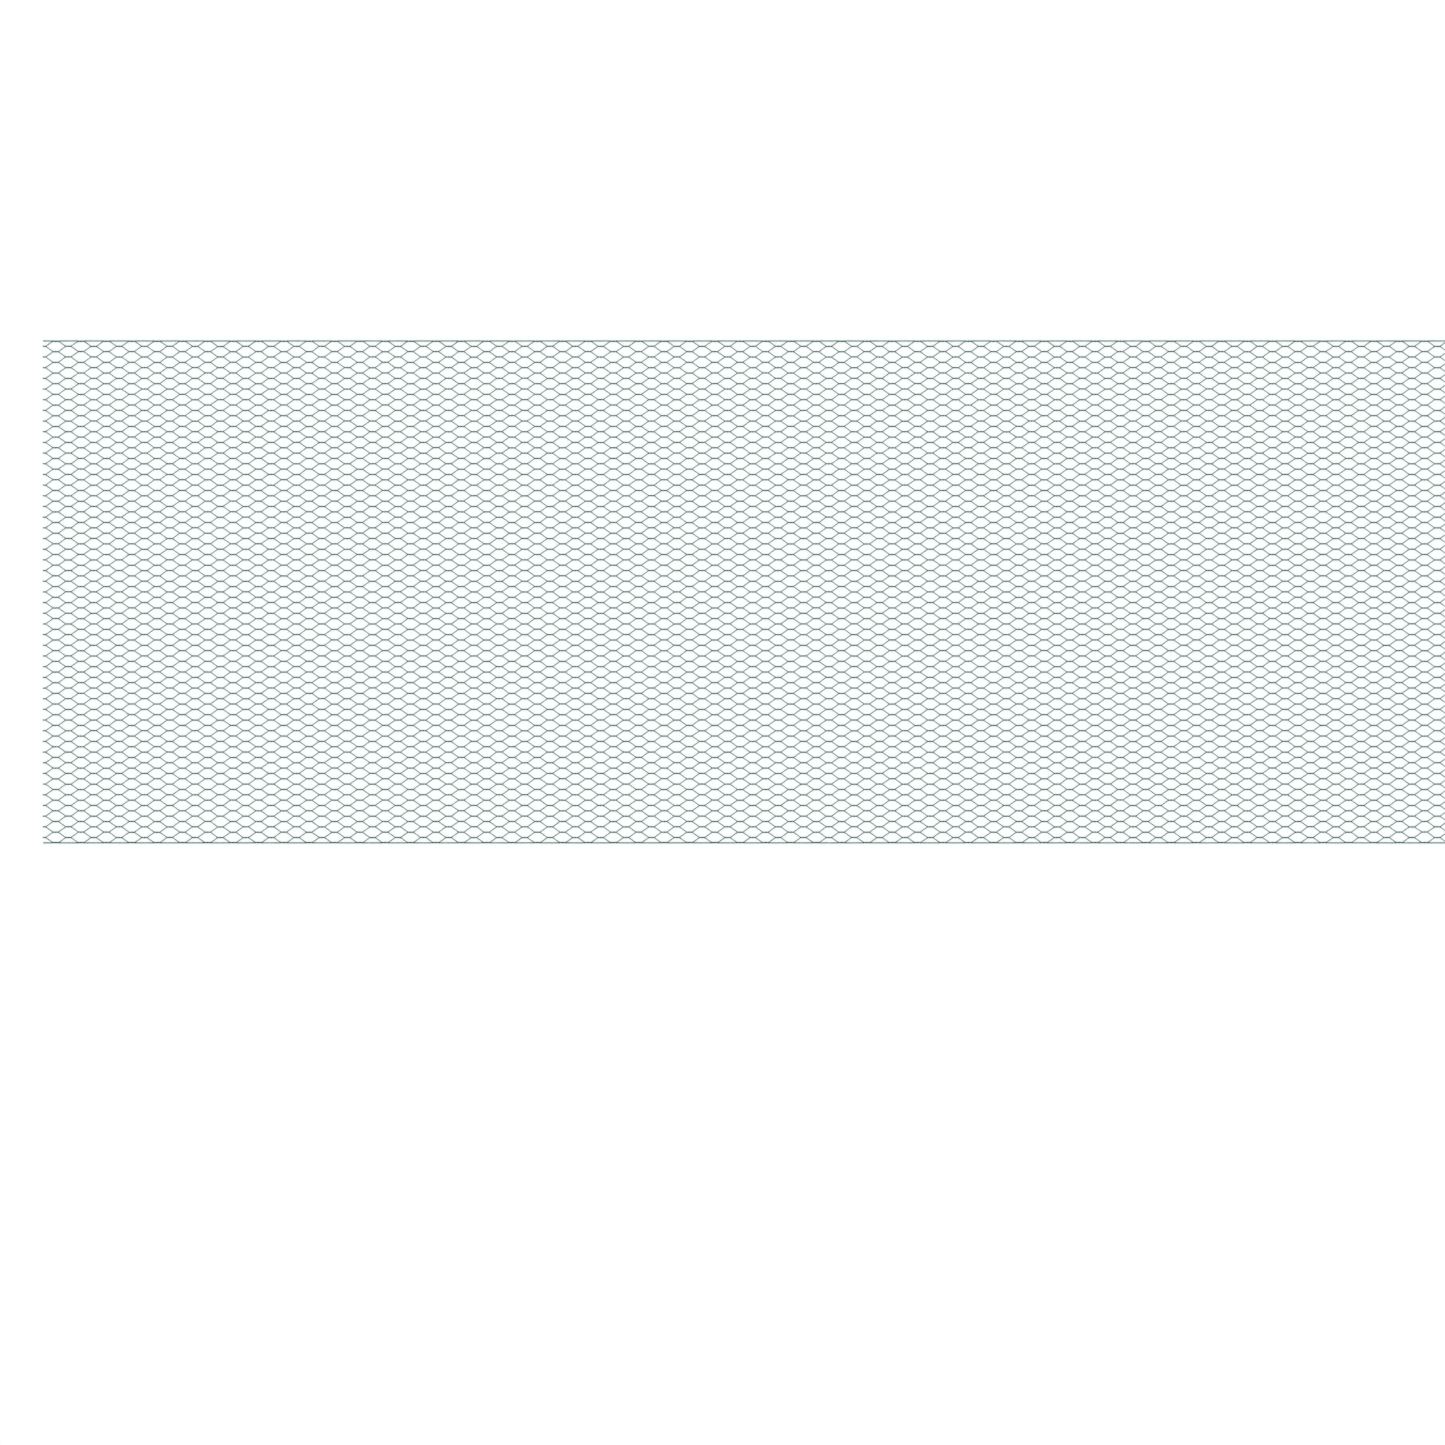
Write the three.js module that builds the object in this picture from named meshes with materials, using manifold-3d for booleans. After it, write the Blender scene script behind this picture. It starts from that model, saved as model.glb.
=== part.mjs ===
// Plastic-coated hexagonal wire netting, a flat length cut from stock, lying on the floor.
// Millimetres, +X along the length, +Y across the width, +Z up, origin under the middle of the sheet.
//
// The weaver's machine leads one strand of wire down each lane and winds it on its two neighbours in
// turn, so the twists stand in a lattice: one row of them every half pitch across the width, and in
// each row one twist every period along the length, the next row shifted by half a period.
// Here the wires run straight from twist to twist. All that rise to the right lie in the lower layer,
// all that fall to the right lie in the upper one, and the two selvedge wires hold both layers.
import * as THREE from "three";
import { mergeVertices } from "three/addons/utils/BufferGeometryUtils.js";
import Module from "manifold-3d";

// Driving dimensions
const MESH_PITCH = 25.4; // across one mesh, from twist row to like twist row
const PERIOD = 60.3; // along the length, from one twist to the next in its row
const PITCHES_ACROSS = 47; // meshes between the two selvedges
const PERIODS_ALONG = 83; // both cut ends pass through the middle of a column of twists
const STRAND_WIRE = 1.2; // over the coating
const SELVEDGE_WIRE = 1.6; // over the coating
const LAYER_GAP = 0.4; // between the layers, so the sheet is as thick as a strand wound on a selvedge wire
const SELVEDGE_SIDES = 6;

const LENGTH = PERIODS_ALONG * PERIOD;
const WIDTH = PITCHES_ACROSS * MESH_PITCH; // between the middles of the selvedge wires
const ROW_STEP = MESH_PITCH / 2;
const COLUMN_STEP = PERIOD / 2;
const ROWS = 2 * PITCHES_ACROSS;
const COLUMNS = 2 * PERIODS_ALONG;
const UPPER_Z = STRAND_WIRE + LAYER_GAP; // underside of the upper layer
const MIDDLE_Z = UPPER_Z - LAYER_GAP / 2;

const greenCoat = new THREE.MeshStandardMaterial({ name: "green_coat", color: 0x1b4a40, roughness: 0.45 });

const wasm = await Module();
wasm.setup();

// A closed three.js geometry as a solid that can be joined.
function solidOf(geometry) {
  geometry.deleteAttribute("normal");
  geometry.deleteAttribute("uv");
  const merged = mergeVertices(geometry, 1e-5);
  const mesh = new wasm.Mesh({
    numProp: 3,
    vertProperties: new Float32Array(merged.attributes.position.array),
    triVerts: new Uint32Array(merged.index.array),
  });
  return new wasm.Manifold(mesh);
}

// A joined solid as a three.js geometry again.
function geometryOf(solid) {
  const mesh = solid.getMesh();
  const geometry = new THREE.BufferGeometry();
  geometry.setAttribute("position", new THREE.BufferAttribute(new Float32Array(mesh.vertProperties), 3));
  geometry.setIndex(new THREE.BufferAttribute(new Uint32Array(mesh.triVerts), 1));
  geometry.computeVertexNormals();
  return geometry;
}

// The place on the sheet of a lattice point, which may lie between or beyond the real columns.
const latticeX = (column) => column * COLUMN_STEP - LENGTH / 2;
const latticeY = (row) => row * ROW_STEP - WIDTH / 2;

// A straight square wire from one lattice point to another, its ends cut square to X so that
// a wire that stops at a cut end of the sheet stops flush with it.
function straightWire(fromColumn, fromRow, toColumn, toRow, underside) {
  const x0 = latticeX(fromColumn);
  const x1 = latticeX(toColumn);
  const y0 = latticeY(fromRow);
  const y1 = latticeY(toRow);
  const halfCut = STRAND_WIRE * Math.hypot(x1 - x0, y1 - y0) / (x1 - x0) / 2; // half its end's height
  const outline = new THREE.Shape([
    new THREE.Vector2(x0, y0 - halfCut),
    new THREE.Vector2(x1, y1 - halfCut),
    new THREE.Vector2(x1, y1 + halfCut),
    new THREE.Vector2(x0, y0 + halfCut),
  ]);
  const wire = new THREE.ExtrudeGeometry(outline, { depth: STRAND_WIRE, bevelEnabled: false });
  return wire.translate(0, 0, underside);
}

// Every wire of one layer, with slope 1 for the rising wires and -1 for the falling ones. A wire's
// line is numbered by the column where it would meet row 0, and all the lines through twists are odd.
// The wire is kept between the two cut ends and the two selvedges.
function layerOfWires(slope, underside) {
  const wires = [];
  const first = slope > 0 ? 1 - ROWS : 1;
  const last = slope > 0 ? COLUMNS - 1 : COLUMNS - 1 + ROWS;
  for (let line = first; line <= last; line += 2) {
    const lineEnds = [line, line + slope * ROWS];
    const from = Math.max(Math.min(...lineEnds), 0);
    const to = Math.min(Math.max(...lineEnds), COLUMNS);
    const rowAt = (column) => (column - line) * slope;
    wires.push(solidOf(straightWire(from, rowAt(from), to, rowAt(to), underside)));
  }
  return wires;
}

// The wire along one edge, from cut end to cut end, with a flat facet on top and one below.
function selvedgeWire(row) {
  const wire = new THREE.CylinderGeometry(
    SELVEDGE_WIRE / 2, SELVEDGE_WIRE / 2, LENGTH, SELVEDGE_SIDES, 1, false, Math.PI / SELVEDGE_SIDES);
  wire.rotateZ(-Math.PI / 2);
  return solidOf(wire.translate(0, latticeY(row), MIDDLE_Z));
}

const wires = [
  ...layerOfWires(1, 0),
  ...layerOfWires(-1, UPPER_Z),
  selvedgeWire(0),
  selvedgeWire(ROWS),
];
const netting = new THREE.Mesh(geometryOf(wasm.Manifold.union(wires)), greenCoat);
netting.name = "netting";

const part = new THREE.Group();
part.add(netting);

export default part;
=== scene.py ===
# Plastic-coated hexagonal wire netting: a flat 1.2 m by 5 m length of stock on a pale floor, seen from
# straight above, with its left cut end and most of its length in view. Metres, +X along the length.
import math

import bpy
import numpy as np
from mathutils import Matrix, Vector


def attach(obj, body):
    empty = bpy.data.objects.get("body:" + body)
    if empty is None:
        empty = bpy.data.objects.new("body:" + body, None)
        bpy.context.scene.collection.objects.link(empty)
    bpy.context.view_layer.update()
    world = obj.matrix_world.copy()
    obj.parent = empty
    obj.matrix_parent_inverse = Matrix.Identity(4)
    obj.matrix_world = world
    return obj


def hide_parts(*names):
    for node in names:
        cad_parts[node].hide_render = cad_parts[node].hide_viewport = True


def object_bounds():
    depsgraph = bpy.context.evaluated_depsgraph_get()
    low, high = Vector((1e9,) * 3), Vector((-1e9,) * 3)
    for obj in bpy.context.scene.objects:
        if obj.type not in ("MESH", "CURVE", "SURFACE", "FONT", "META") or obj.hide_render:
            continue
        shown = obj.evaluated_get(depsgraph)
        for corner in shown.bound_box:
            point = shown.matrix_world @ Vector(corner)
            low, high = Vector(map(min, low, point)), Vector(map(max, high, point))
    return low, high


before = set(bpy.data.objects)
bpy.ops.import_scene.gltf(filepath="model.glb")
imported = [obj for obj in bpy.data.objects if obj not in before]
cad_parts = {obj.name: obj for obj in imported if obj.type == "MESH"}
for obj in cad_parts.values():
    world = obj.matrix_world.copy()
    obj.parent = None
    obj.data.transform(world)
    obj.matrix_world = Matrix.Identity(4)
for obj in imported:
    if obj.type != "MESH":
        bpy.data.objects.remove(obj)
cad_low, cad_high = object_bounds()


# Strand wires. Each is galvanised steel wire, drawn through a die that lays on a dark green plastic
# coat. It zigzags along a lane of its own for the whole length of the sheet, and makes one whole turn
# with its neighbour wherever the two lanes meet, which is all that holds the netting together.
MESH_PITCH = 0.0254  # across one mesh, from a row of twists to the next like one
PERIOD = 0.0603  # along the length, from one twist to the next in its row
TWIST_LENGTH = 0.0123  # between the corners of the meshes at its two ends
STRAND_WIRE = 0.0012  # over the coat
STRAND_SIDES = 4
TWIST_STEPS = 3  # steps of a wire's path from the middle of a twist to its end
SELVEDGE_WIRE = 0.0016  # over the coat
COAT = 0.00015  # the plastic on the steel
SETTING = 0.00012  # how far the twists stand from their true places, as a standard deviation
WEAVE_SEED = 94
BANDS = 5  # meshes that the strands are shared out over, each under the limit for one piece

row_step = MESH_PITCH / 2
column_step = PERIOD / 2
rows = round((cad_high.y - cad_low.y - SELVEDGE_WIRE) / row_step)
columns = round((cad_high.x - cad_low.x) / column_step)
row_y = (np.arange(rows + 1) - rows / 2) * row_step
column_x = (np.arange(columns + 1) - columns / 2) * column_step
middle_z = (cad_low.z + cad_high.z) / 2
slope = row_step / (column_step - TWIST_LENGTH)

# The pair of wires at a twist turns about its axis at a radius. In the sheet that is half a wire. At
# the selvedges the strand turns at half the thicker wire, and the axis stands in by half a strand, so
# that the selvedge's outermost line stays straight.
twist_axis = np.zeros(rows + 1)
twist_axis[[0, -1]] = STRAND_WIRE / 2
twist_radius = np.full(rows + 1, STRAND_WIRE / 2)
twist_radius[[0, -1]] = SELVEDGE_WIRE / 2

rng = np.random.default_rng(WEAVE_SEED)
set_x = rng.normal(0, SETTING, (columns + 1, rows + 1))
set_y = rng.normal(0, SETTING, (columns + 1, rows + 1))
set_x[[0, -1], :] = 0  # both cut ends are straight
set_y[:, [0, -1]] = 0  # and so are both selvedges


def twist_half(row):
    """Half the length that a pair takes for its turn. The slanting wires aim at the corners of the mesh,
    on the row's line. A wire that ends its turn off that line meets its slant further out, by the
    distance off the line over the slope."""
    return TWIST_LENGTH / 2 + (twist_axis[row] + twist_radius[row]) / slope


def stations(near, far):
    """Places along half a period, counted from the middle of the near twist: that middle and equal steps
    to the twist's end, then the far twist's end and equal steps to one short of its middle."""
    near_steps = np.multiply.outer(twist_half(near), np.arange(TWIST_STEPS + 1) / TWIST_STEPS)
    far_steps = np.multiply.outer(twist_half(far), np.arange(TWIST_STEPS, 0, -1) / TWIST_STEPS)
    return np.concatenate([near_steps, column_step - far_steps], axis=-1)


def strand_points(lane, column, x_way, rising, near, far):
    """Points of strands along half periods. In a twist the wire stands off the axis by the radius times
    the cosine of its turn across the sheet and times the sine in height, from its own side round to its
    neighbour's and back. Between twists it runs straight across the lane, at half the sheet's height.
    A falling half period is a rising one turned over, across and in height."""
    half_near = twist_half(near)[..., None]
    half_far = twist_half(far)[..., None]
    axis_near, axis_far = twist_axis[near][..., None], twist_axis[far][..., None]
    radius_near, radius_far = twist_radius[near][..., None], twist_radius[far][..., None]
    in_near = x_way < half_near
    in_far = column_step - x_way < half_far
    turn_near = math.pi * x_way / half_near
    turn_far = math.pi * (column_step - x_way) / half_far
    share = np.clip((x_way - half_near) / (column_step - half_near - half_far), 0, 1)

    across = (x_way - TWIST_LENGTH / 2) * slope
    across = np.where(in_near, axis_near - radius_near * np.cos(turn_near), across)
    across = np.where(in_far, row_step - axis_far + radius_far * np.cos(turn_far), across)
    height = np.where(in_near, -radius_near * np.sin(turn_near), 0)
    height = np.where(in_far, -radius_far * np.sin(turn_far), height)

    up = rising[..., None]
    x = column_x[column][..., None] + x_way
    x = x + (1 - share) * set_x[column, near][..., None] + share * set_x[column + 1, far][..., None]
    y = row_y[lane][..., None] + np.where(up, across, row_step - across)
    y = y + (1 - share) * set_y[column, near][..., None] + share * set_y[column + 1, far][..., None]
    z = middle_z + np.where(up, height, -height)
    return np.stack([x, y, z], axis=-1)


def strand_paths(first_lane, last_lane):
    """Whole paths of the strands in some lanes, as wire by point by coordinate. A strand is on the near
    row of its lane at every second column, and its neighbours' columns are the others."""
    lane, column = np.meshgrid(np.arange(first_lane, last_lane), np.arange(columns), indexing="ij")
    rising = (lane + column) % 2 == 1
    near = np.where(rising, lane, lane + 1)
    far = np.where(rising, lane + 1, lane)
    points = strand_points(lane, column, stations(near, far), rising, near, far)
    points = points.reshape(last_lane - first_lane, -1, 3)
    last = np.s_[:, -1:]
    end_way = np.full((last_lane - first_lane, 1, 1), column_step)
    end = strand_points(lane[last], column[last], end_way, rising[last], near[last], far[last])
    return np.concatenate([points, end.reshape(-1, 1, 3)], axis=1)


def wire_mesh(name, paths, diameter, sides, tones):
    """Wires along paths, as one mesh. Each point of a path carries a ring: the point plus the radius
    times the cosine and sine of equal turns, along the level direction square to the path and the
    direction square to both. The path's direction at a point is the mean of the two steps that meet
    there. The ends are cut square to the sheet's length, each a ring of coat round a face of steel."""
    wires, points, _ = paths.shape
    step = np.diff(paths, axis=1)
    step /= np.linalg.norm(step, axis=2, keepdims=True)
    ahead = np.tile([1.0, 0.0, 0.0], (wires, points, 1))
    ahead[:, 1:-1] = step[:, :-1] + step[:, 1:]
    ahead /= np.linalg.norm(ahead, axis=2, keepdims=True)
    level = np.cross([0, 0, 1], ahead)
    level /= np.linalg.norm(level, axis=2, keepdims=True)
    over = np.cross(ahead, level)
    turn = np.arange(sides) * 2 * math.pi / sides
    spoke = np.cos(turn)[:, None] * level[:, :, None, :] + np.sin(turn)[:, None] * over[:, :, None, :]
    rings = paths[:, :, None, :] + diameter / 2 * spoke
    core = paths[:, [0, -1], None, :] + (diameter / 2 - COAT) * spoke[:, [0, -1]]
    per_wire = (points + 2) * sides
    vertices = np.concatenate([rings.reshape(wires, -1, 3), core.reshape(wires, -1, 3)], axis=1)

    here = np.arange(sides)
    after = (here + 1) % sides
    ring = np.arange(points - 1)[:, None] * sides
    skin = np.stack([ring + here, ring + after, ring + sides + after, ring + sides + here], axis=-1)
    first_core = points * sides
    last_core = first_core + sides
    last_ring = first_core - sides
    first_lip = np.stack([here, first_core + here, first_core + after, after], axis=-1)
    last_lip = np.stack([last_ring + here, last_ring + after, last_core + after, last_core + here], axis=-1)
    quads = np.concatenate([skin.reshape(-1, 4), first_lip, last_lip])
    steel = [np.flip(first_core + here), last_core + here]
    start = (np.arange(wires) * per_wire)[:, None, None]
    quads = (quads + start).reshape(-1, 4)
    steel = (np.stack(steel) + start).reshape(-1, sides)

    mesh = bpy.data.meshes.new(name)
    mesh.vertices.add(wires * per_wire)
    mesh.vertices.foreach_set("co", vertices.astype(np.float32).ravel())
    mesh.loops.add(quads.size + steel.size)
    mesh.loops.foreach_set("vertex_index", np.concatenate([quads.ravel(), steel.ravel()]).astype(np.int32))
    mesh.polygons.add(len(quads) + len(steel))
    starts = np.concatenate([np.arange(len(quads)) * 4, quads.size + np.arange(len(steel)) * sides])
    mesh.polygons.foreach_set("loop_start", starts.astype(np.int32))
    is_steel = np.arange(len(quads) + len(steel)) >= len(quads)
    cut = (np.arange(len(quads)) % (len(quads) // wires)) >= (points - 1) * sides
    mesh.polygons.foreach_set("material_index", is_steel.astype(np.int32))
    mesh.polygons.foreach_set("use_smooth", ~np.concatenate([cut, is_steel[len(quads):]]))
    tone = mesh.attributes.new("tone", "FLOAT", "POINT")
    tone.data.foreach_set("value", np.repeat(tones, per_wire).astype(np.float32))
    mesh.update(calc_edges=True)
    mesh.validate()
    piece = bpy.data.objects.new(name, mesh)
    bpy.context.scene.collection.objects.link(piece)
    return piece


def link(tree, source, output, target, socket):
    """Joins one node's output to another node's input."""
    tree.links.new(source.outputs[output], target.inputs[socket])


COAT_DARK = (0.004, 0.085, 0.068, 1)
COAT_LIGHT = (0.009, 0.125, 0.100, 1)
COAT_ROUGHNESS = (0.34, 0.52)
CLOUDS = 14  # slow changes of colour in a metre
GRAIN = 900  # fine changes of gloss and surface in a metre
GRAIN_DEPTH = 0.00003
SPOOL_TONES = (0.6, 1.4)  # least and most that a spool's wire leans towards the lighter green
STEEL_COLOUR = (0.56, 0.57, 0.58, 1)
STEEL_ROUGHNESS = (0.25, 0.55)
DRAG_MARKS = 4000  # in a metre of cut face


def green_coat():
    """Plastic coat: two dark bluish greens mixed by slow noise along the sheet and by each wire's own
    tone, since wires come off different spools; satin, with finer noise in its gloss and its surface."""
    material = bpy.data.materials.new("green_coat")
    material.use_nodes = True
    tree = material.node_tree
    shader = tree.nodes["Principled BSDF"]
    place = tree.nodes.new("ShaderNodeTexCoord")
    slow = tree.nodes.new("ShaderNodeTexNoise")
    slow.inputs["Scale"].default_value = CLOUDS
    slow.inputs["Detail"].default_value = 3
    tone = tree.nodes.new("ShaderNodeAttribute")
    tone.attribute_name = "tone"
    share = tree.nodes.new("ShaderNodeMath")
    share.operation = "MULTIPLY"
    colour = tree.nodes.new("ShaderNodeMix")
    colour.data_type = "RGBA"
    colour.inputs["A"].default_value = COAT_DARK
    colour.inputs["B"].default_value = COAT_LIGHT
    fine = tree.nodes.new("ShaderNodeTexNoise")
    fine.inputs["Scale"].default_value = GRAIN
    fine.inputs["Detail"].default_value = 2
    gloss = tree.nodes.new("ShaderNodeMapRange")
    gloss.inputs["To Min"].default_value, gloss.inputs["To Max"].default_value = COAT_ROUGHNESS
    relief = tree.nodes.new("ShaderNodeBump")
    relief.inputs["Strength"].default_value = 0.25
    relief.inputs["Distance"].default_value = GRAIN_DEPTH
    link(tree, place, "Object", slow, "Vector")
    link(tree, place, "Object", fine, "Vector")
    link(tree, slow, "Fac", share, 0)
    link(tree, tone, "Fac", share, 1)
    link(tree, share, "Value", colour, "Factor")
    link(tree, colour, "Result", shader, "Base Color")
    link(tree, fine, "Fac", gloss, "Value")
    link(tree, gloss, "Result", shader, "Roughness")
    link(tree, fine, "Fac", relief, "Height")
    link(tree, relief, "Normal", shader, "Normal")
    shader.inputs["Specular IOR Level"].default_value = 0.35
    return material


def cut_steel():
    """The steel that shows where the wires were cut: bright, with the drag marks of the cutter."""
    material = bpy.data.materials.new("cut_steel")
    material.use_nodes = True
    tree = material.node_tree
    shader = tree.nodes["Principled BSDF"]
    place = tree.nodes.new("ShaderNodeTexCoord")
    marks = tree.nodes.new("ShaderNodeTexNoise")
    marks.inputs["Scale"].default_value = DRAG_MARKS
    gloss = tree.nodes.new("ShaderNodeMapRange")
    gloss.inputs["To Min"].default_value, gloss.inputs["To Max"].default_value = STEEL_ROUGHNESS
    link(tree, place, "Object", marks, "Vector")
    link(tree, marks, "Fac", gloss, "Value")
    link(tree, gloss, "Result", shader, "Roughness")
    shader.inputs["Base Color"].default_value = STEEL_COLOUR
    shader.inputs["Metallic"].default_value = 1
    return material


coat_finish = green_coat()
steel_finish = cut_steel()
spool_tones = rng.uniform(*SPOOL_TONES, rows)
band_edges = np.linspace(0, rows, BANDS + 1).round().astype(int)
for band, (first, last) in enumerate(zip(band_edges[:-1], band_edges[1:]), start=1):
    strands = wire_mesh(
        f"strand_wires_{band}", strand_paths(first, last), STRAND_WIRE, STRAND_SIDES,
        spool_tones[first:last])
    strands.data.materials.append(coat_finish)
    strands.data.materials.append(steel_finish)
    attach(strands, "root")
    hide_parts("netting")


# Selvedge wires. One thicker wire of the same make runs along each long edge. The outermost strand
# makes a whole turn with it at every second column, and between those turns it lies straight.
SELVEDGE_SIDES = 8
REST = 0.0035  # past the end of a turn, where the wire lies straight again


def selvedge_path(row):
    """Path of the wire along one edge. At a turn it stands off the pair's axis on the side away from the
    strand, by half a strand wire times the cosine of the turn across and the sine in height."""
    half = twist_half(row)
    steps = half * np.arange(-TWIST_STEPS, TWIST_STEPS + 1) / TWIST_STEPS
    way = np.concatenate([[-half - REST], steps, [half + REST]])
    turn = math.pi * np.clip(way / half, -1, 1)
    inward = 1 if row == 0 else -1
    column = np.arange(1, columns, 2)
    x = column_x[column][:, None] + way + set_x[column, row][:, None]
    y = row_y[row] + inward * (twist_axis[row] + STRAND_WIRE / 2 * np.cos(turn)) + 0 * x
    z = middle_z + inward * STRAND_WIRE / 2 * np.sin(turn) + 0 * x
    bends = np.stack([x, y, z], axis=-1).reshape(-1, 3)
    ends = np.array([[column_x[end], row_y[row], middle_z] for end in (0, -1)])
    return np.concatenate([ends[:1], bends, ends[1:]])


for name, row in (("selvedge_wire_front", 0), ("selvedge_wire_back", rows)):
    selvedge = wire_mesh(name, selvedge_path(row)[None], SELVEDGE_WIRE, SELVEDGE_SIDES, np.ones(1))
    selvedge.data.materials.append(coat_finish)
    selvedge.data.materials.append(steel_finish)
    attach(selvedge, "root")
    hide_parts("netting")


# Floor. A plain pale studio floor under the sheet, a shade cool, and wide enough for low views.
FLOOR_HALF = 45.0
FLOOR_COLOUR = (0.9, 0.915, 0.915, 1)
corners = [(-FLOOR_HALF, -FLOOR_HALF, 0), (FLOOR_HALF, -FLOOR_HALF, 0),
           (FLOOR_HALF, FLOOR_HALF, 0), (-FLOOR_HALF, FLOOR_HALF, 0)]
floor_mesh = bpy.data.meshes.new("floor")
floor_mesh.from_pydata(corners, [], [(0, 1, 2, 3)])
floor = bpy.data.objects.new("floor", floor_mesh)
bpy.context.scene.collection.objects.link(floor)
floor_finish = bpy.data.materials.new("pale_floor")
floor_finish.use_nodes = True
floor_shader = floor_finish.node_tree.nodes["Principled BSDF"]
floor_shader.inputs["Base Color"].default_value = FLOOR_COLOUR
floor_shader.inputs["Roughness"].default_value = 0.9
floor_shader.inputs["Specular IOR Level"].default_value = 0.1
floor_mesh.materials.append(floor_finish)


# Light. A broad soft light from nearly overhead, and an even pale room all round.
SUN_TILT = math.radians(12)
SUN_SPREAD = math.radians(60)
SUN_STRENGTH = 1.3
ROOM_STRENGTH = 0.72
PICTURE_GAMMA = 0.75  # hair-thin wires keep their depth against the pale floor
sun = bpy.data.lights.new("overhead_light", "SUN")
sun.energy = SUN_STRENGTH
sun.angle = SUN_SPREAD
sun_object = bpy.data.objects.new("overhead_light", sun)
sun_object.rotation_euler = (SUN_TILT, SUN_TILT, 0)
bpy.context.scene.collection.objects.link(sun_object)
room = bpy.data.worlds.new("pale_room")
room.use_nodes = True
room.node_tree.nodes["Background"].inputs["Color"].default_value = (1, 1, 1, 1)
room.node_tree.nodes["Background"].inputs["Strength"].default_value = ROOM_STRENGTH
bpy.context.scene.world = room
bpy.context.scene.view_settings.view_transform = "Standard"
bpy.context.scene.view_settings.gamma = PICTURE_GAMMA


# Camera. It looks straight down through a long lens, and stands where the left cut end and both
# selvedges fall on the pixels that they have in the photograph.
PHOTO_SIDE = 1445  # pixels
LEFT_END_PIXEL = 43.0  # from the left
BACK_SELVEDGE_PIXEL = 341.0  # down from the top
FRONT_SELVEDGE_PIXEL = 842.9
CAMERA_HEIGHT = 14.0
SENSOR_WIDTH = 36  # millimetres
VIEW_END = 200  # metres

metres_per_pixel = (row_y[-1] - row_y[0]) / (FRONT_SELVEDGE_PIXEL - BACK_SELVEDGE_PIXEL)
camera = bpy.data.cameras.new("camera")
camera.sensor_width = SENSOR_WIDTH
camera.lens = SENSOR_WIDTH * (CAMERA_HEIGHT - middle_z) / (PHOTO_SIDE * metres_per_pixel)
camera.clip_end = VIEW_END
camera_object = bpy.data.objects.new("camera", camera)
camera_object.location = (
    cad_low.x + (PHOTO_SIDE / 2 - LEFT_END_PIXEL) * metres_per_pixel,
    row_y[-1] - (PHOTO_SIDE / 2 - BACK_SELVEDGE_PIXEL) * metres_per_pixel,
    CAMERA_HEIGHT,
)
bpy.context.scene.collection.objects.link(camera_object)
bpy.context.scene.camera = camera_object
